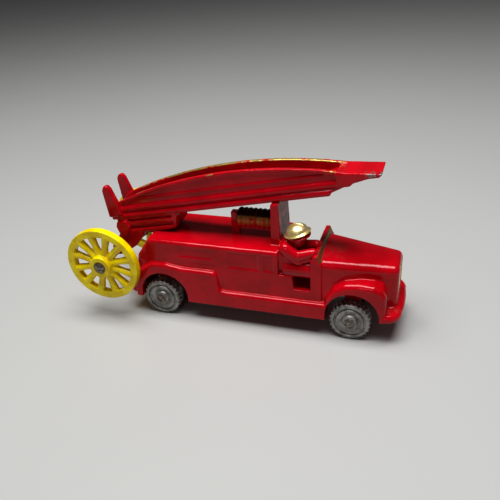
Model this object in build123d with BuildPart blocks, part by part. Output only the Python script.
from build123d import *
import math
import os

os.makedirs("parts", exist_ok=True)

# A small die-cast toy fire engine with a wheeled escape ladder on its roof.
# Frame: +X forward, +Y to the vehicle's left, +Z up, millimetres.
# The origin is on the ground, in the middle of the overall length and width.

# ---- driving dimensions -------------------------------------------------------------
wheelbase = 33.2
front_overhang = 8.2          # front road axle to the nose
escape_setback = 9.0          # rear road axle back to the escape axle
body_width = 13.0             # over the sills and fenders
shoulder_width = 0.85         # how far a fender stands out past the house, each side
roof_height = 14.6
sill_height = 3.3
seat_drop = 4.2               # the roof down to the cab seat
seat_rise = 2.4               # the cab floor up to the seat
fender_wall = 1.9             # top of a wheel arch up to the crown of its fender
shell_wall = 1.2              # thickness of the body casting
panel_depth = 0.15            # locker doors, in from the house side

road_wheel_dia = 6.8
road_wheel_width = 2.0
road_wheel_inset = 0.3        # outer face of a road wheel, in from the sill
road_hub_proud = 0.35         # hub of a road wheel, out from its outer face
road_axle_dia = 1.2
tread_knobs = 26
arch_gap = 0.95               # a road wheel's rim to the arch round it

escape_wheel_dia = 13.2
escape_rim_width = 1.3
escape_rim_depth = 1.2
escape_overhang = 2.15        # middle of an escape rim, out from the side of the body
escape_axle_height = 10.63
escape_axle_dia = 1.3
escape_hub_dia = 3.4
escape_hub_proud = 0.85       # hub of an escape wheel, out from its rim
spoke_count = 12
spoke_root = 0.55             # radius of a spoke where it leaves the hub
rivet_dome = 0.3              # height of the peened end of any axle
pivot_eye = 1.5               # radius of the eyes round the escape axle

ladder_width = 5.2
ladder_wall = 0.9
ladder_slope = math.atan(0.2)
rail_length = 39.6            # underside of the lower rail, heel to its front end
rail_depth = 1.15
rail_gap = 0.12               # groove between the upper and the lower rail
post_thickness = 0.95         # heel post, standing out past the wall
bow_rise = 2.6                # of the bow above its own chord
slot_depth = 0.45             # the two long grooves along the carriage's sides
carriage_depth = 2.75         # bottom of the carriage, below the ladder's underside
heel_lift = 1.16              # ladder's underside at the heel, above the roof
tip_reach = 8.5               # ladder's tip, past the front end of the lower rail
rung_count = 14
rung_pitch = 2.4
reel_dia = 3.2
reel_lift = 3.0               # middle of the hose reel above the roof
reel_turns = 8
apron_low = 4.15              # underside and top of the shelf round the nose
apron_high = 5.35
driver_y = -2.8               # middle of the driver, right of the centre line

# ---- clearances -----------------------------------------------------------------------
axle_running = 0.05           # radial, a turning axle in its lug or wheel
side_play = 0.25              # a wheel or leg beside the lug next to it
rivet_gap = 0.05              # a wheel's hub to the rivet that holds it on
rest_gap = 0.04               # ladder underside above the gantry that it lies on

# ---- stations along the vehicle ---------------------------------------------------------
overall_length = escape_wheel_dia / 2 + escape_setback + wheelbase + front_overhang
escape_axle_x = -overall_length / 2 + escape_wheel_dia / 2
rear_axle_x = escape_axle_x + escape_setback
front_axle_x = rear_axle_x + wheelbase
nose_x = front_axle_x + front_overhang
road_axle_z = road_wheel_dia / 2
arch_r = road_wheel_dia / 2 + arch_gap
rear_arch_x = rear_axle_x + 0.7
rear_arch_z = road_axle_z + 0.75
front_arch_x = front_axle_x + 0.3
front_arch_z = road_axle_z + 1.0
rear_fender_top = rear_arch_z + arch_r + fender_wall
front_fender_top = front_arch_z + arch_r + fender_wall
tail_x = rear_axle_x - arch_r - 0.7
roof_rear_x = rear_axle_x - 1.6
cab_rear_x = front_axle_x - 11.9
scuttle_x = front_axle_x - 6.6
bonnet_x = front_axle_x - 5.2
grille_x = nose_x - 1.1
half_body = body_width / 2
half_house = half_body - shoulder_width
wheel_face_y = half_body - road_wheel_inset
lug_half = wheel_face_y - road_wheel_width - side_play
board_top = sill_height + 2.9
locker_top = rear_fender_top - 0.5
seat_height = roof_height - seat_drop
cab_floor = seat_height - seat_rise

# The ladder's own plane: u runs forward along the rails from the heel, v stands off them.
heel_x = escape_axle_x - 0.82
heel_z = roof_height + heel_lift
ladder_cos = math.cos(ladder_slope)
ladder_sin = math.sin(ladder_slope)


def ladder_plane(y):
    """The side plane of the ladder at the given y, x along the rails and y off them."""
    return Plane(origin=(heel_x, y, heel_z), x_dir=(ladder_cos, 0, ladder_sin),
                 z_dir=(0, -1, 0))


def underside_z(x):
    """Height of the ladder's underside above the ground at a station x."""
    return heel_z + (x - heel_x) * math.tan(ladder_slope)


def in_ladder(x, z):
    """A point of the side view in the ladder's own u and v."""
    dx, dz = x - heel_x, z - heel_z
    return (dx * ladder_cos + dz * ladder_sin, -dx * ladder_sin + dz * ladder_cos)


def finish(piece, label):
    """Name a finished piece and write it as its own STEP file."""
    piece.label = label
    export_step(piece, "parts/" + label + ".step")


def cross_plane(x):
    """Plane across the vehicle at a station x: sketch x is +Y, sketch y is +Z."""
    return Plane(origin=(x, 0, 0), x_dir=(0, 1, 0), z_dir=(1, 0, 0))


# ---- body casting -----------------------------------------------------------------------
gantry_front = cab_rear_x - 0.3
gantry_rear = gantry_front - 1.3
gantry_top = underside_z(gantry_rear) - rest_gap / ladder_cos
reel_z = roof_height + reel_lift
post_front = gantry_rear - 6.3
post_rear = post_front - 1.35
tongue_half = ladder_width / 2 - ladder_wall - side_play
inner_house = half_house - shell_wall
gantry_half = ladder_width / 2 + 0.6

with BuildPart() as body_casting:
    # locker house
    with BuildSketch(Plane.XZ):
        with BuildLine():
            Polyline(
                (tail_x + 0.6, sill_height), (tail_x + 0.6, roof_height - 5.3), (tail_x + 1.1, roof_height - 3.3),
                (roof_rear_x, roof_height), (cab_rear_x, roof_height),
                (cab_rear_x, sill_height), close=True)
        make_face()
    extrude(amount=half_house, both=True)
    roof_edges = edges().filter_by(Axis.X).group_by(Axis.Z)[-1]
    rear_edges = edges().filter_by(lambda e: e.center().X < roof_rear_x and e.center().Z > 9.4)
    fillet(roof_edges + rear_edges.filter_by(lambda e: abs(e.center().Y) > 1), radius=0.6)
    # locker doors: shallow panels on both sides, and a moulding line under the rear one
    for side in (-1, 1):
        with BuildSketch(Plane.XZ.offset(side * (half_house - panel_depth))):
            with Locations((rear_axle_x + 6.85, roof_height - 1.85)):
                Rectangle(6.1, 1.7)
            with Locations((rear_axle_x + 8.85, roof_height - 3.85)):
                Rectangle(6.6, 0.25)
            with Locations((cab_rear_x - 5.9, roof_height - 2.3)):
                Rectangle(5.2, 3.1)
            with Locations((cab_rear_x - 1.6, roof_height - 2.3)):
                Rectangle(1.8, 3.1)
        extrude(amount=side * (panel_depth + 0.5), mode=Mode.SUBTRACT)
    # cab floor and seat base, and the scuttle in front of it
    with BuildSketch(Plane.XZ):
        with BuildLine():
            Polyline(
                (cab_rear_x - 0.5, sill_height), (cab_rear_x - 0.5, seat_height),
                (cab_rear_x + 2.3, seat_height), (cab_rear_x + 2.6, cab_floor),
                (scuttle_x, cab_floor), (scuttle_x, roof_height - 1.0),
                (bonnet_x + 0.4, roof_height - 1.4), (bonnet_x + 0.4, sill_height), close=True)
        make_face()
    extrude(amount=half_house, both=True)
    # tunnel between the two footwells
    with BuildSketch(Plane.XZ):
        with Locations(((cab_rear_x + scuttle_x) / 2, seat_height - 1.5)):
            Rectangle(scuttle_x - cab_rear_x + 0.4, 3.0)
    extrude(amount=1.4, both=True)
    # rear fender, locker base and running board in one sweep of metal
    with BuildSketch(Plane.XZ):
        with BuildLine():
            Polyline(
                (tail_x, sill_height), (tail_x + 0.25, 6.6), (tail_x + 1.5, 8.9),
                (rear_axle_x - 1.2, rear_fender_top - 0.05),
                (rear_axle_x + 1.6, rear_fender_top),
                (rear_axle_x + 4.2, locker_top + 0.05), (rear_axle_x + 10.6, locker_top),
                (rear_axle_x + 11.1, board_top), (bonnet_x + 2.0, board_top),
                (bonnet_x + 2.0, sill_height), close=True)
        make_face()
        fillet(vertices().filter_by(lambda v: v.Y > 6.0), radius=0.9)
    extrude(amount=half_body, both=True)
    sweep_edges = edges().filter_by(
        lambda e: abs(abs(e.center().Y) - half_body) < 0.01 and e.center().Z > sill_height + 0.2)
    fillet(sweep_edges, radius=0.6)
    # bonnet, tapering to the grille
    for x, half, drop, crown, round_r in ((bonnet_x, half_house - 0.2, 1.25, 0.65, 1.4),
                                          (grille_x, half_house - 2.4, 2.25, 1.75, 1.2)):
        shoulder = roof_height - drop
        with BuildSketch(cross_plane(x)):
            with BuildLine():
                Polyline((-half, shoulder), (-half, 4.5), (half, 4.5), (half, shoulder))
                ThreePointArc((half, shoulder), (0, roof_height - crown), (-half, shoulder))
            make_face()
            fillet(vertices().filter_by(lambda v: v.Y > 8), radius=round_r)
    loft()
    nose_edges = edges().filter_by(lambda e: abs(e.center().X - grille_x) < 0.01)
    fillet(nose_edges.filter_by(lambda e: e.center().Z > 6.0), radius=1.0)
    # front fenders: one arched block across the nose, rounded down to the lips
    with BuildSketch(Plane.XZ):
        with BuildLine():
            Polyline(
                (bonnet_x + 0.8, sill_height), (bonnet_x + 1.1, 7.2), (front_axle_x - 2.8, 9.3),
                (front_axle_x - 1.1, front_fender_top - 0.35), (front_axle_x + 1.2, front_fender_top),
                (front_axle_x + 3.6, front_fender_top - 0.15),
                (front_axle_x + 4.9, front_fender_top - 0.75),
                (front_arch_x + arch_r + 0.95, front_fender_top - 2.05),
                (front_arch_x + arch_r + 1.05, apron_low - 0.05), close=True)
        make_face()
        fillet(vertices().filter_by(lambda v: v.Y > 7.0), radius=0.9)
    extrude(amount=half_body, both=True)
    lip_edges = edges().filter_by(
        lambda e: abs(abs(e.center().Y) - half_body) < 0.01
        and e.center().X > bonnet_x + 0.3 and e.center().Z > 5.0)
    fillet(lip_edges, radius=0.85)
    # apron: the shelf that wraps the nose between the fenders, its top edge eased
    for level, rise, lean in ((apron_low, apron_high - apron_low - 0.45, 0),
                              (apron_high - 0.45, 0.45, 40)):
        with BuildSketch(Plane.XY.offset(level)):
            with BuildLine():
                Line((front_axle_x + 3.8, -half_body), (nose_x - 2.6, -half_body))
                ThreePointArc((nose_x - 2.6, -half_body), (nose_x - 0.85, -half_body + 1.0),
                              (nose_x - 0.25, -half_body + 2.9))
                ThreePointArc((nose_x - 0.25, -half_body + 2.9), (nose_x, 0),
                              (nose_x - 0.25, half_body - 2.9))
                ThreePointArc((nose_x - 0.25, half_body - 2.9), (nose_x - 0.85, half_body - 1.0),
                              (nose_x - 2.6, half_body))
                Polyline((nose_x - 2.6, half_body), (front_axle_x + 3.8, half_body),
                         (front_axle_x + 3.8, -half_body))
            make_face()
        extrude(amount=rise, taper=lean)
    # nose: grille recess
    with BuildSketch(cross_plane(grille_x - 0.35)):
        with Locations((0, roof_height - 5.4)):
            RectangleRounded(4.5, 5.8, 0.7)
    extrude(amount=1.0, mode=Mode.SUBTRACT)
    # windscreen rail, leaning back
    with BuildSketch(Plane.XZ):
        with BuildLine():
            Polyline((bonnet_x - 1.2, roof_height - 1.7), (bonnet_x - 1.0, roof_height - 0.1),
                     (bonnet_x - 0.25, roof_height - 0.05),
                     (bonnet_x + 0.45, roof_height - 1.7), close=True)
        make_face()
        fillet(vertices().group_by(Axis.Y)[-1], radius=0.25)
        fillet(vertices().group_by(Axis.Y)[-2], radius=0.25)
    extrude(amount=half_house - 0.05, both=True)
    # rear step under the escape's wheels
    with BuildSketch(Plane.XY.offset(sill_height + 0.2)):
        with Locations((tail_x + 0.4, 0)):
            RectangleRounded(3.4, body_width - 1.6, 0.8)
    extrude(amount=2.6)
    # gantry that the ladder lies on
    with BuildSketch(Plane.XZ):
        with BuildLine():
            Polyline((gantry_rear - 0.15, roof_height - 1.0), (gantry_rear, gantry_top),
                     (gantry_front, gantry_top + (gantry_front - gantry_rear) * ladder_sin
                      / ladder_cos), (gantry_front + 0.35, roof_height - 1.0), close=True)
        make_face()
    extrude(amount=gantry_half, both=True)
    # hose reel on the roof: a post, and the roped drum between it and the gantry
    with BuildSketch(Plane.XZ):
        with Locations(((post_front + post_rear) / 2, reel_z - 1.0)):
            Rectangle(post_front - post_rear, 4.0)
    extrude(amount=0.6, both=True)
    with BuildSketch(Plane.XY.offset(reel_z)):
        with BuildLine():
            Polyline((gantry_rear + 0.1, 0), (post_front - 0.1, 0),
                     (post_front - 0.1, reel_dia / 2 - 0.25))
            coil_y = reel_dia / 2 - 0.25
            turn = (gantry_rear + 0.2 - post_front) / reel_turns
            for i in range(reel_turns):
                x0 = post_front - 0.1 + i * turn
                ThreePointArc((x0, coil_y), (x0 + turn / 2, coil_y + 0.25), (x0 + turn, coil_y))
            Line((post_front - 0.1 + reel_turns * turn, coil_y), (gantry_rear + 0.1, 0))
        make_face()
    revolve(axis=Axis((0, 0, reel_z), (1, 0, 0)))
    # the driver, cast in one with the cab
    with BuildSketch(cross_plane(cab_rear_x - 0.2)):
        with Locations((driver_y, seat_height + 2.2)):
            RectangleRounded(4.6, 5.6, 1.6)
    extrude(amount=2.9)
    with BuildSketch(cross_plane(cab_rear_x + 1.0)):
        with Locations((driver_y - 1.5, seat_height + 0.75)):
            Circle(1.25)
    extrude(amount=scuttle_x - cab_rear_x - 0.9)
    with Locations((cab_rear_x + 2.7, driver_y, roof_height + 1.2)):
        Sphere(1.35)
    # helmet: brim and crown turned about a line tipped a little forward
    crown_r = 1.3
    helmet_plane = Plane(origin=(cab_rear_x + 2.8, driver_y, roof_height + 2.0),
                         x_dir=(1, 0, 0.12), z_dir=(0, -1, 0))
    with BuildSketch(helmet_plane):
        with BuildLine():
            Polyline((0, -0.2), (2.1, -0.1), (2.1, 0.15), (crown_r, 0.35))
            ThreePointArc((crown_r, 0.35), (crown_r * math.sqrt(0.5),
                                            0.35 + crown_r * math.sqrt(0.5)),
                          (0, 0.35 + crown_r))
            Line((0, 0.35 + crown_r), (0, -0.2))
        make_face()
    revolve(axis=Axis(helmet_plane.origin, helmet_plane.y_dir))
    # arms: shoulder to elbow to the hand on the wheel
    for shoulder_y, hand_y in ((driver_y - 1.9, driver_y - 1.5), (driver_y + 1.7, driver_y + 1.2)):
        shoulder = Vector(cab_rear_x + 1.4, shoulder_y, roof_height - 0.3)
        elbow = Vector(cab_rear_x + 3.3, shoulder_y, roof_height - 1.5)
        hand = Vector(scuttle_x + 0.3, hand_y, roof_height - 0.8)
        for start, end, girth in ((shoulder, elbow, 0.9), (elbow, hand, 0.75)):
            with BuildSketch(Plane(origin=start, z_dir=end - start)):
                Circle(girth)
            extrude(amount=(end - start).length)
        with Locations(shoulder, elbow):
            Sphere(0.9)
    # pivot arm: from the roof's rear edge down to the escape axle
    with BuildSketch(Plane.XZ):
        with BuildLine():
            Polyline(
                (roof_rear_x + 2.0, roof_height - 1.2), (roof_rear_x + 2.0, roof_height + 0.5),
                (roof_rear_x - 3.0, roof_height + 0.5), (escape_axle_x + 0.2, pivot_eye + escape_axle_height),
                (escape_axle_x + 0.6, escape_axle_height - pivot_eye), (roof_rear_x - 4.0, roof_height - 2.9),
                (roof_rear_x - 2.6, roof_height - 1.2), close=True)
        make_face()
        fillet(vertices().filter_by(lambda v: v.X < roof_rear_x - 2.0
                                    and v.X > escape_axle_x + 2.0), radius=0.6)
        with Locations((escape_axle_x, escape_axle_height)):
            Circle(pivot_eye)
    extrude(amount=tongue_half - 0.3, both=True)
    with BuildSketch(Plane.XZ):
        with Locations((escape_axle_x, escape_axle_height)):
            Circle(pivot_eye)
    extrude(amount=tongue_half, both=True)
    # the casting is hollow: everything is scooped out from below
    with BuildSketch(Plane.XY):
        with BuildLine():
            Polyline((tail_x + 1.3, -inner_house), (cab_rear_x - shell_wall, -inner_house),
                     (cab_rear_x - shell_wall, inner_house), (tail_x + 1.3, inner_house),
                     close=True)
        make_face()
    extrude(amount=9.0, mode=Mode.SUBTRACT)
    with BuildSketch(Plane.XZ):
        with BuildLine():
            Polyline((tail_x + 1.8, 8.0), (tail_x + 2.3, roof_height - 4.0),
                     (roof_rear_x + 0.7, roof_height - shell_wall),
                     (cab_rear_x - shell_wall, roof_height - shell_wall),
                     (cab_rear_x - shell_wall, 8.0), close=True)
        make_face()
    extrude(amount=inner_house, both=True, mode=Mode.SUBTRACT)
    with BuildSketch(Plane.XZ):
        with BuildLine():
            Polyline((cab_rear_x - shell_wall - 0.5, -1.0),
                     (cab_rear_x - shell_wall - 0.5, cab_floor - shell_wall),
                     (bonnet_x + 1.0, cab_floor - shell_wall), (bonnet_x + 1.0, -1.0),
                     close=True)
        make_face()
    extrude(amount=inner_house, both=True, mode=Mode.SUBTRACT)
    with BuildSketch(cross_plane(bonnet_x)):
        with BuildLine():
            Polyline((-3.9, 0), (-3.9, roof_height - 2.6), (3.9, roof_height - 2.6), (3.9, 0),
                     close=True)
        make_face()
    with BuildSketch(cross_plane(grille_x - shell_wall - 0.4)):
        with BuildLine():
            Polyline((-1.9, 0), (-1.9, roof_height - 3.7), (1.9, roof_height - 3.7), (1.9, 0),
                     close=True)
        make_face()
    loft(mode=Mode.SUBTRACT)
    # fenders and sills are hollow outside the house line too
    with BuildSketch(Plane.XY):
        with Locations(((rear_arch_x, 0), (front_arch_x, 0))):
            Rectangle(2 * arch_r - 0.4, 2 * (half_body - shell_wall))
    extrude(amount=road_axle_z + 3.9, mode=Mode.SUBTRACT)
    # wheel arches
    with BuildSketch(Plane.XZ):
        for arch_x, arch_z in ((rear_arch_x, rear_arch_z), (front_arch_x, front_arch_z)):
            with Locations((arch_x, arch_z)):
                Circle(arch_r)
            with Locations((arch_x, arch_z - arch_r)):
                Rectangle(2 * arch_r, 2 * arch_r)
    extrude(amount=half_body + 1, both=True, mode=Mode.SUBTRACT)
    # axle lugs hang inside
    for axle_x, top in ((rear_axle_x, roof_height - 1.0), (front_axle_x, roof_height - 3.6)):
        for side in (-1, 1):
            with BuildSketch(Plane.XZ.offset(side * lug_half)):
                with Locations((axle_x, (top + road_axle_z) / 2)):
                    Rectangle(2.6, top - road_axle_z)
                with Locations((axle_x, road_axle_z)):
                    Circle(1.3)
            extrude(amount=-side * shell_wall)
    with BuildSketch(Plane.XZ):
        with Locations((rear_axle_x, road_axle_z), (front_axle_x, road_axle_z)):
            Circle(road_axle_dia / 2 + axle_running)
        with Locations((escape_axle_x, escape_axle_height)):
            Circle(escape_axle_dia / 2 + axle_running)
    extrude(amount=half_body - 1.0, both=True, mode=Mode.SUBTRACT)
finish(body_casting.part, "body_casting")

# ---- escape ladder casting ----------------------------------------------------------------
half_ladder = ladder_width / 2
inner_ladder = half_ladder - ladder_wall
carriage_v = -carriage_depth
pivot_u, pivot_v = in_ladder(escape_axle_x, escape_axle_height)
bow_v = 3.5
bow_start_u = 3.2
bow_end_u = rail_length + 3.2
bow_mid_u = (bow_start_u + bow_end_u) / 2
tip_u = rail_length + tip_reach


def bow(drop):
    """The bow's arc, lowered by drop, as a builder line."""
    return ThreePointArc((bow_start_u, bow_v - drop), (bow_mid_u, bow_v + bow_rise - drop),
                         (bow_end_u, bow_v - drop))


# cross section of the left wall: two half-round rails, the web, and the thin rib
post_inner = half_ladder - 0.3
web_y = half_ladder - 0.45
upper_top = 2 * rail_depth + rail_gap
with BuildPart() as left_wall:
    section_plane = Plane(origin=(heel_x, 0, heel_z), x_dir=(0, 1, 0),
                          z_dir=(ladder_cos, 0, ladder_sin))
    with BuildSketch(section_plane):
        with BuildLine():
            Polyline((web_y, 0), (inner_ladder, 0), (inner_ladder, 8), (web_y, 8),
                     (web_y, bow_v + 0.12), (web_y + 0.2, bow_v + 0.06),
                     (web_y + 0.2, bow_v - 0.06), (web_y, bow_v - 0.12), (web_y, upper_top))
            ThreePointArc((web_y, upper_top), (web_y + 0.38, upper_top - rail_depth / 2),
                          (web_y, upper_top - rail_depth))
            Line((web_y, upper_top - rail_depth), (web_y, rail_depth))
            ThreePointArc((web_y, rail_depth), (half_ladder, rail_depth / 2), (web_y, 0))
        make_face()
    extrude(amount=tip_u)
    with BuildSketch(ladder_plane(0)):
        with BuildLine():
            Polyline((bow_start_u, bow_v), (1.7, 3.0), (0.3, 0.5), (0.3, 0), (rail_length, 0),
                     (rail_length + 1.0, rail_depth + rail_gap),
                     (rail_length + 3.4, rail_depth + rail_gap),
                     (rail_length + 4.5, upper_top - 0.1), (tip_u - 2.0, upper_top - 0.1),
                     (bow_end_u, bow_v))
            bow(0)
        make_face()
    extrude(amount=-half_ladder - 1, mode=Mode.INTERSECT)
    # bead along the bow
    with BuildSketch(ladder_plane(inner_ladder)):
        with BuildLine():
            bow(0)
            Line((bow_end_u, bow_v), (bow_end_u, bow_v - 0.5))
            bow(0.5)
            Line((bow_start_u, bow_v - 0.5), (bow_start_u, bow_v))
        make_face()
    extrude(amount=-(ladder_wall - 0.15))

# heel post, rounded all over
with BuildPart() as left_post:
    with BuildSketch(ladder_plane(post_inner)):
        with BuildLine():
            Polyline((0.25, 0.9), (0.7, 6.0), (1.2, 6.7), (1.9, 6.75), (2.3, 6.1),
                     (2.8, 3.2), (2.7, 0.9), close=True)
        make_face()
        fillet(vertices().filter_by(lambda v: v.Y > 5.5), radius=0.4)
    extrude(amount=-post_thickness)
    fillet(edges().filter_by(lambda e: e.center().Y > post_inner + 0.01
                             and e.center().Z > heel_z + 0.6), radius=0.28)

with BuildPart() as escape_ladder:
    add(left_wall.part)
    add(left_post.part)
    mirror(about=Plane.XZ)
    for side in (-1, 1):
        inner = side * inner_ladder
        # carriage frame under the heel
        with BuildSketch(ladder_plane(inner)):
            with BuildLine():
                Polyline((1.2, 0.3), (1.2, -2.3), (2.4, carriage_v), (10.6, carriage_v),
                         (12.2, -2.5), (12.9, -0.5), (12.9, 0.3), close=True)
            make_face()
        extrude(amount=-side * (ladder_wall - 0.1))
        with BuildSketch(ladder_plane(side * (half_ladder - 0.1 - slot_depth))):
            with BuildLine():
                Polyline((3.2, -0.15), (3.2, -0.55), (11.9, -0.55), (11.9, -0.15), close=True)
            make_face()
            with BuildLine():
                Polyline((3.2, -1.4), (3.2, -2.0), (11.7, -2.0), (11.9, -1.4), close=True)
            make_face()
        extrude(amount=-side * (slot_depth + 0.1), mode=Mode.SUBTRACT)
        # leg down to the escape axle
        with BuildSketch(ladder_plane(inner)):
            with BuildLine():
                Polyline((1.2, -2.2), (pivot_u - 1.45, pivot_v + 0.5),
                         (pivot_u + 0.4, pivot_v - 1.4), (pivot_u + 3.5, pivot_v),
                         (5.2, carriage_v - 0.75), (6.0, -2.2), close=True)
            make_face()
            with Locations((pivot_u, pivot_v)):
                Circle(pivot_eye)
        extrude(amount=-side * ladder_wall)
        with BuildSketch(ladder_plane(side * half_ladder)):
            with Locations((pivot_u, pivot_v)):
                Circle(pivot_eye - 0.3)
        extrude(amount=-side * 0.6)
        # six-sided boss at the foot of the heel post
        with BuildSketch(ladder_plane(side * (half_ladder - 0.2))):
            with BuildLine():
                Polyline((1.2, -0.2), (3.0, -0.2), (3.4, -1.6), (2.4, -3.1), (1.0, -2.5),
                         (0.8, -1.0), close=True)
            make_face()
        extrude(amount=-side * 0.6)
    # floor between the rails
    with BuildSketch(ladder_plane(0)):
        with BuildLine():
            Polyline((1.2, 0.2), (rail_length, 0.2), (rail_length + 3.4, 1.3),
                     (tip_u - 0.6, 2.15), (tip_u, 2.65), (bow_end_u, bow_v - 0.1),
                     (rail_length - 2.0, 2.3), (rail_length - 6.0, 1.0), (1.2, 1.0), close=True)
        make_face()
    extrude(amount=inner_ladder, both=True)
    with BuildSketch(ladder_plane(0)):
        with BuildLine():
            Polyline((rail_length + 1.5, 1.3), (rail_length + 3.4, 1.3),
                     (rail_length + 4.5, 2.15), (tip_u - 0.6, 2.15), (tip_u, 2.65),
                     (bow_end_u, bow_v), (rail_length + 1.5, bow_v), close=True)
        make_face()
    extrude(amount=half_ladder, both=True)
    # rungs on the floor
    for i in range(rung_count):
        with BuildSketch(ladder_plane(0)):
            with Locations((bow_start_u + 1.3 + i * rung_pitch, 1.1)):
                Rectangle(0.7, 1.0)
        extrude(amount=inner_ladder, both=True)
    # front wall of the carriage
    with BuildSketch(ladder_plane(0)):
        with BuildLine():
            Polyline((12.0, 0.4), (11.4, -2.6), (12.2, -2.5), (12.9, -0.5), (12.9, 0.4),
                     close=True)
        make_face()
    extrude(amount=inner_ladder, both=True)
    with BuildSketch(ladder_plane(0)):
        with Locations((pivot_u, pivot_v)):
            Circle(escape_axle_dia / 2)
    extrude(amount=half_ladder + 2, both=True, mode=Mode.SUBTRACT)
finish(escape_ladder.part, "escape_ladder")


# ---- axles ---------------------------------------------------------------------------------
def axle(label, x, z, diameter, tip_y):
    """A steel pin along Y with a riveted dome on each end, its tips at plus and minus tip_y."""
    half_head = diameter / 2 + 0.25
    shank_y = tip_y - rivet_dome
    dome_r = (half_head ** 2 + rivet_dome ** 2) / (2 * rivet_dome)
    sag = dome_r - math.sqrt(dome_r ** 2 - (half_head * 0.6) ** 2)
    with BuildPart() as pin:
        with BuildSketch(Plane(origin=(x, 0, z), x_dir=(1, 0, 0), z_dir=(0, 0, 1))):
            with BuildLine():
                Line((0, tip_y), (0, -tip_y))
                ThreePointArc((0, -tip_y), (half_head * 0.6, -tip_y + sag), (half_head, -shank_y))
                Polyline((half_head, -shank_y), (diameter / 2, -shank_y),
                         (diameter / 2, shank_y), (half_head, shank_y))
                ThreePointArc((half_head, shank_y), (half_head * 0.6, tip_y - sag), (0, tip_y))
            make_face()
        revolve(axis=Axis((x, 0, z), (0, 1, 0)))
    finish(pin.part, label)


road_hub_y = wheel_face_y + road_hub_proud
for label, x in (("front_axle", front_axle_x), ("rear_axle", rear_axle_x)):
    axle(label, x, road_axle_z, road_axle_dia, road_hub_y + rivet_gap + rivet_dome)
escape_face_y = half_body + escape_overhang + escape_rim_width / 2
escape_hub_y = escape_face_y + escape_hub_proud
axle("escape_axle", escape_axle_x, escape_axle_height, escape_axle_dia,
     escape_hub_y + rivet_gap + rivet_dome)


# ---- road wheels ---------------------------------------------------------------------------
def road_wheel(label, x, side):
    """A bare cast wheel with a knobbed tread; side is -1 on the right and 1 on the left."""
    face = side * wheel_face_y
    radius = road_wheel_dia / 2
    bore = road_axle_dia / 2 + axle_running
    with BuildPart() as wheel:
        with BuildSketch(Plane(origin=(x, face, road_axle_z), x_dir=(1, 0, 0),
                               z_dir=(0, 0, side))):
            with BuildLine():
                Polyline(
                    (bore, road_hub_proud), (radius * 0.30, road_hub_proud),
                    (radius * 0.36, -0.05), (radius * 0.62, -0.2), (radius * 0.70, 0.0),
                    (radius * 0.80, -0.15), (radius - 0.35, -0.25), (radius - 0.05, -0.6),
                    (radius - 0.05, -road_wheel_width + 0.3), (radius - 0.4, -road_wheel_width),
                    (bore, -road_wheel_width), close=True)
            make_face()
        revolve(axis=Axis((x, 0, road_axle_z), (0, 1, 0)))
        # two rows of staggered notches leave the knobs standing
        for row in (0, 1):
            depth_y = face - side * (0.32 + row * 0.86)
            plane = Plane(origin=(x, depth_y, road_axle_z), x_dir=(1, 0, 0), z_dir=(0, -side, 0))
            with BuildSketch(plane):
                with PolarLocations(radius, tread_knobs, start_angle=row * 180 / tread_knobs):
                    Rectangle(0.5, 0.34)
            extrude(amount=0.8, mode=Mode.SUBTRACT)
    finish(wheel.part, label)


for label, x, side in (("front_wheel_right", front_axle_x, -1),
                       ("front_wheel_left", front_axle_x, 1),
                       ("rear_wheel_right", rear_axle_x, -1),
                       ("rear_wheel_left", rear_axle_x, 1)):
    road_wheel(label, x, side)


# ---- escape wheels -------------------------------------------------------------------------
def escape_wheel(label, side):
    """A spoked carriage wheel: rim, flared round spokes and a proud hub."""
    face = side * escape_face_y
    mid = face - side * escape_rim_width / 2
    rim_r = escape_wheel_dia / 2
    inner_r = rim_r - escape_rim_depth
    hub_r = escape_hub_dia / 2
    axle_line = Axis((escape_axle_x, 0, escape_axle_height), (0, 1, 0))
    bore = escape_axle_dia / 2 + axle_running
    half_rim = escape_rim_width / 2
    with BuildPart() as wheel:
        with BuildSketch(Plane(origin=(escape_axle_x, mid, escape_axle_height),
                               x_dir=(1, 0, 0), z_dir=(0, 0, side))):
            with Locations(((rim_r + inner_r) / 2, 0)):
                RectangleRounded(escape_rim_depth, escape_rim_width, 0.25)
            with BuildLine():
                hub_out = half_rim + escape_hub_proud
                Polyline((bore, hub_out), (hub_r - 0.25, hub_out), (hub_r, hub_out - 0.25),
                         (hub_r + 0.05, half_rim), (hub_r + 0.05, -half_rim),
                         (hub_r - 0.1, -half_rim - 0.6), (bore, -half_rim - 0.6), close=True)
            make_face()
        revolve(axis=axle_line)
        for i in range(spoke_count):
            turn = math.radians(360 / spoke_count * (i + 0.5))
            out = (math.cos(turn), 0, math.sin(turn))
            spoke_plane = Plane(origin=(escape_axle_x, mid, escape_axle_height),
                                x_dir=out, z_dir=(-out[2], 0, out[0]))
            with BuildSketch(spoke_plane):
                with BuildLine():
                    Polyline((inner_r + 0.3, 0), (hub_r - 0.3, 0), (hub_r - 0.3, spoke_root))
                    Spline((hub_r - 0.3, spoke_root), (hub_r + 0.9, spoke_root - 0.1),
                           (inner_r - 0.9, spoke_root - 0.05),
                           (inner_r + 0.3, spoke_root + 0.12))
                    Line((inner_r + 0.3, spoke_root + 0.12), (inner_r + 0.3, 0))
                make_face()
            revolve(axis=Axis((escape_axle_x, mid, escape_axle_height), out))
    finish(wheel.part, label)


escape_wheel("escape_wheel_right", -1)
escape_wheel("escape_wheel_left", 1)
